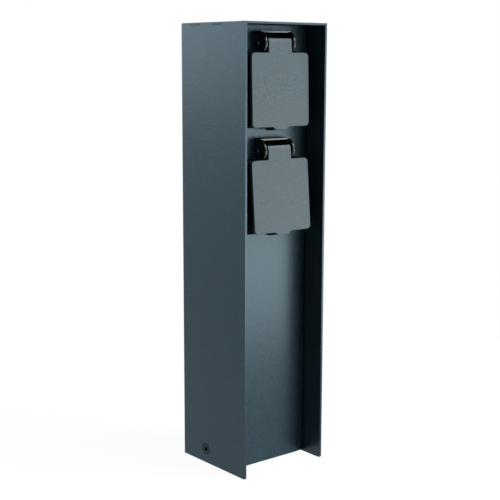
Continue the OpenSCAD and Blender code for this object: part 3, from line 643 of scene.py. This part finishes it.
class PILLAR_OT_lids(bpy.types.Operator):
    """Painted lids with rounded rims, left sharp around the springs"""

    bl_idname = "pillar.lids"
    bl_label = "Lids"

    def execute(self, context):
        edges = context.scene.pillar_edges
        for side in SOCKETS:
            pin = sum(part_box(f"{side}_hinge_pin"), Vector()) / 2
            softened(
                f"{side}_lid",
                f"{side}_lid_painted",
                edges.lid,
                edges.steps,
                lid_coat(),
                crisp=lambda edge, pin=pin: beside_pin(edge, pin),
            )
        return {"FINISHED"}


class PILLAR_OT_inserts(bpy.types.Operator):
    """Cups, covers, contacts and seals inside the sockets"""

    bl_idname = "pillar.inserts"
    bl_label = "Socket inserts"

    def execute(self, context):
        dull = material_named("Grained black polyamide", matt_moulding, finishes().matt)
        soft = material_named("Moulded EPDM rubber", rubber, finishes().rubber)
        metal = material_named("Plain brass", brass)
        plated = material_named("Zinc-plated steel", zinc_plate)
        for side in SOCKETS:
            paint_nodes(dull, [f"{side}_cup", f"{side}_rear_cover"])
            paint_nodes(soft, [f"{side}_gasket", f"{side}_lid_seal"])
            paint_nodes(
                metal,
                [f"{side}_live_contact", f"{side}_neutral_contact", f"{side}_earth_clip"],
            )
            paint_nodes(
                plated,
                [
                    f"{side}_{name}"
                    for name in (
                        "terminal_screws",
                        "centre_screw",
                        "flange_screws",
                        "flange_nuts",
                        "hinge_pin",
                        "lid_spring",
                    )
                ],
            )
        return {"FINISHED"}


class PILLAR_OT_base(bpy.types.Operator):
    """Base plate, its nuts, the side screws and the cable grommet"""

    bl_idname = "pillar.base"
    bl_label = "Base"

    def execute(self, context):
        plated = material_named("Zinc-plated steel", zinc_plate)
        soft = material_named("Moulded EPDM rubber", rubber, finishes().rubber)
        dark = material_named("Black oxide steel", black_screw)
        paint_nodes(plated, ["base_plate", "base_nuts"])
        paint_nodes(soft, ["cable_grommet"])
        paint_nodes(dark, ["side_screws"])
        return {"FINISHED"}


class PILLAR_OT_wiring(bpy.types.Operator):
    """Terminal block, cord clamp and the internal wires"""

    bl_idname = "pillar.wiring"
    bl_label = "Wiring"

    def execute(self, context):
        plated = material_named("Zinc-plated steel", zinc_plate)
        paint_nodes(
            plated,
            [
                "terminal_bracket",
                "block_clamp_screws",
                "block_fixing_screws",
                "clamp_screws",
                "earth_screw",
                "earth_lug",
            ],
        )
        paint_nodes(material_named("Plain brass", brass), ["block_inserts"])
        paint_nodes(material_named("Off-white polyamide", white_moulding), ["terminal_block"])
        dull = material_named("Grained black polyamide", matt_moulding, finishes().matt)
        paint_nodes(dull, ["cord_clamp"])
        paint_nodes(wire_skin("Brown PVC", "#6b3f22"), ["live_wires"])
        paint_nodes(wire_skin("Blue PVC", "#2f5fa8"), ["neutral_wires"])
        paint_nodes(earth_skin(), ["earth_wires"])
        return {"FINISHED"}


class PILLAR_OT_stage(bpy.types.Operator):
    """Pale floor, soft boxes and the camera at the photograph's angle"""

    bl_idname = "pillar.stage"
    bl_label = "Studio"

    def execute(self, context):
        studio = context.scene.pillar_studio
        lay_floor()
        light_room(studio.room_light)
        for name, place, size, radiance, colour in LAMPS:
            hang_soft_box(name, place, size, radiance, colour)
        set_camera(studio.lens)
        return {"FINISHED"}


def seen_ray(tree):
    """1 for the rays that show the backdrop: from the camera, a reflection or a clear piece."""
    ray = add_node(tree, "ShaderNodeLightPath")
    both = add_node(tree, "ShaderNodeMath", {"operation": "MAXIMUM"})
    tree.links.new(ray.outputs["Is Camera Ray"], both.inputs[0])
    tree.links.new(ray.outputs["Is Glossy Ray"], both.inputs[1])
    every = add_node(tree, "ShaderNodeMath", {"operation": "MAXIMUM"})
    tree.links.new(both.outputs[0], every.inputs[0])
    tree.links.new(ray.outputs["Is Transmission Ray"], every.inputs[1])
    return every.outputs[0]


def backdrop_colour(tree):
    """White for the camera, and a pale blue in reflections that keeps the left wall cool."""
    ray = add_node(tree, "ShaderNodeLightPath")
    tint = add_node(tree, "ShaderNodeMix", {"data_type": "RGBA"})
    tint.inputs["A"].default_value = (1, 1, 1, 1)
    tint.inputs["B"].default_value = REFLECTED
    tree.links.new(ray.outputs["Is Glossy Ray"], tint.inputs["Factor"])
    return tint.outputs["Result"]


def lay_floor():
    """A round white table top that looks plain white with a trace of the column's shadow."""
    bm = bmesh.new()
    bmesh.ops.create_circle(bm, cap_ends=True, segments=96, radius=FLOOR_RADIUS)
    mesh = bpy.data.meshes.new("floor")
    bm.to_mesh(mesh)
    bm.free()
    floor = bpy.data.objects.new("floor", mesh)
    bpy.context.scene.collection.objects.link(floor)
    material, tree, shader = new_material("White studio floor", linear("#b4b4b4"), roughness=0.9)
    shader.inputs["Specular IOR Level"].default_value = 0.1
    seen = add_node(tree, "ShaderNodeMath", {"operation": "MULTIPLY"})
    seen.inputs[1].default_value = FLOOR_SHARE
    tree.links.new(seen_ray(tree), seen.inputs[0])
    glow = add_node(tree, "ShaderNodeEmission", {"Strength": FLOOR_GLOW})
    tree.links.new(backdrop_colour(tree), glow.inputs["Color"])
    mix = add_node(tree, "ShaderNodeMixShader")
    tree.links.new(seen.outputs[0], mix.inputs[0])
    tree.links.new(shader.outputs[0], mix.inputs[1])
    tree.links.new(glow.outputs[0], mix.inputs[2])
    tree.links.new(mix.outputs[0], tree.nodes["Material Output"].inputs["Surface"])
    mesh.materials.append(material)


def light_room(strength):
    """A plain white world: white to the camera and an even soft light for the object."""
    world = bpy.data.worlds.new("Room")
    bpy.context.scene.world = world
    world.use_nodes = True
    tree = world.node_tree
    power = add_node(
        tree,
        "ShaderNodeMapRange",
        {"To Min": strength, "To Max": 1.0},
        Value=seen_ray(tree),
    )
    tree.links.new(power.outputs["Result"], tree.nodes["Background"].inputs["Strength"])
    tree.links.new(backdrop_colour(tree), tree.nodes["Background"].inputs["Color"])


def hang_soft_box(name, place, size, radiance, colour):
    """A rectangular lamp that faces the column; its power follows from its radiance and size."""
    lamp = bpy.data.lights.new(name, "AREA")
    lamp.shape = "RECTANGLE"
    lamp.size, lamp.size_y = size
    lamp.energy = radiance * math.pi * size[0] * size[1]
    lamp.color = colour
    held = bpy.data.objects.new(name, lamp)
    held.location = place
    held.rotation_mode = "QUATERNION"
    held.rotation_quaternion = (Vector(place) - AIM).to_track_quat("Z", "Y")
    held.visible_camera = False
    bpy.context.scene.collection.objects.link(held)


def set_camera(lens):
    """The camera at the photograph's place and angle."""
    camera = bpy.data.cameras.new("Camera")
    camera.lens = lens
    camera.sensor_width = SENSOR
    held = bpy.data.objects.new("Camera", camera)
    held.location = CAMERA_PLACE
    held.rotation_mode = "QUATERNION"
    turn = (CAMERA_AIM - CAMERA_PLACE).to_track_quat("-Z", "Y")
    held.rotation_quaternion = turn @ Quaternion((0, 0, 1), CAMERA_ROLL)
    bpy.context.scene.collection.objects.link(held)
    bpy.context.scene.camera = held
    bpy.context.scene.view_settings.view_transform = "Standard"


class PILLAR_PT_panel(bpy.types.Panel):
    """Lists the pillar's sizes, colours and making steps"""

    bl_label = "Socket pillar"
    bl_idname = "PILLAR_PT_panel"
    bl_space_type = "VIEW_3D"
    bl_region_type = "UI"
    bl_category = "Pillar"

    def draw(self, context):
        for settings in (
            context.scene.pillar_finishes,
            context.scene.pillar_edges,
            context.scene.pillar_studio,
        ):
            box = self.layout.box()
            for name in settings.bl_rna.properties.keys():
                if name not in {"rna_type", "name"}:
                    box.prop(settings, name)
        for step in STEPS:
            self.layout.operator(step.bl_idname)


STEPS = (
    PILLAR_OT_stage,
    PILLAR_OT_column,
    PILLAR_OT_frames,
    PILLAR_OT_lids,
    PILLAR_OT_inserts,
    PILLAR_OT_base,
    PILLAR_OT_wiring,
)
SETTINGS = {
    "pillar_finishes": PillarFinishes,
    "pillar_edges": PillarEdges,
    "pillar_studio": PillarStudio,
}


def register():
    """Registers the settings, operators and panel."""
    for settings in SETTINGS.values():
        bpy.utils.register_class(settings)
    for name, settings in SETTINGS.items():
        setattr(bpy.types.Scene, name, PointerProperty(type=settings))
    for step in STEPS:
        bpy.utils.register_class(step)
    bpy.utils.register_class(PILLAR_PT_panel)


def unregister():
    """Takes back what register() made."""
    bpy.utils.unregister_class(PILLAR_PT_panel)
    for step in reversed(STEPS):
        bpy.utils.unregister_class(step)
    for name in SETTINGS:
        delattr(bpy.types.Scene, name)
    for settings in SETTINGS.values():
        bpy.utils.unregister_class(settings)


def main():
    """Builds the dressed pillar."""
    register()
    for step in STEPS:
        group, name = step.bl_idname.split(".")
        getattr(getattr(bpy.ops, group), name)()


if __name__ == "__main__":
    main()
